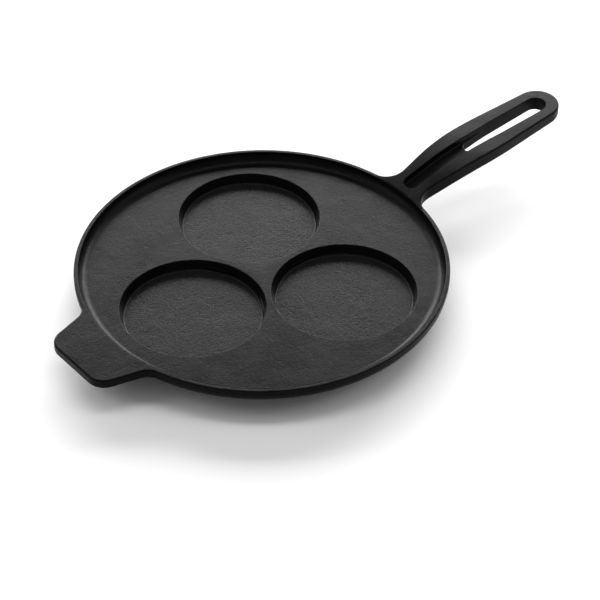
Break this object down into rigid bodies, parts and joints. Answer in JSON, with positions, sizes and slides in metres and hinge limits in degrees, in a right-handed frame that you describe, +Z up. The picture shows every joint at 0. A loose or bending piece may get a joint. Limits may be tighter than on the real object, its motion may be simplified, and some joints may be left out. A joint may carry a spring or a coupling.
{
  "type": "uttapam pan",
  "caption": "Round cast-iron pan with shallow round wells for small thick pancakes, a long slotted handle and a helper tab opposite it.",
  "frame": {"origin": "centre of the bounding box on the plane the pan rests on", "axes": "+X from the helper tab to the tip of the handle, +Z up from the resting plane"},
  "size_m": [0.4374, 0.26, 0.0418],
  "materials": {
    "iron": "seasoned sand-cast iron, semi-matt, near black"
  },
  "bodies": {
    "root": {"pan": "iron"}
  },
  "joints": []
}
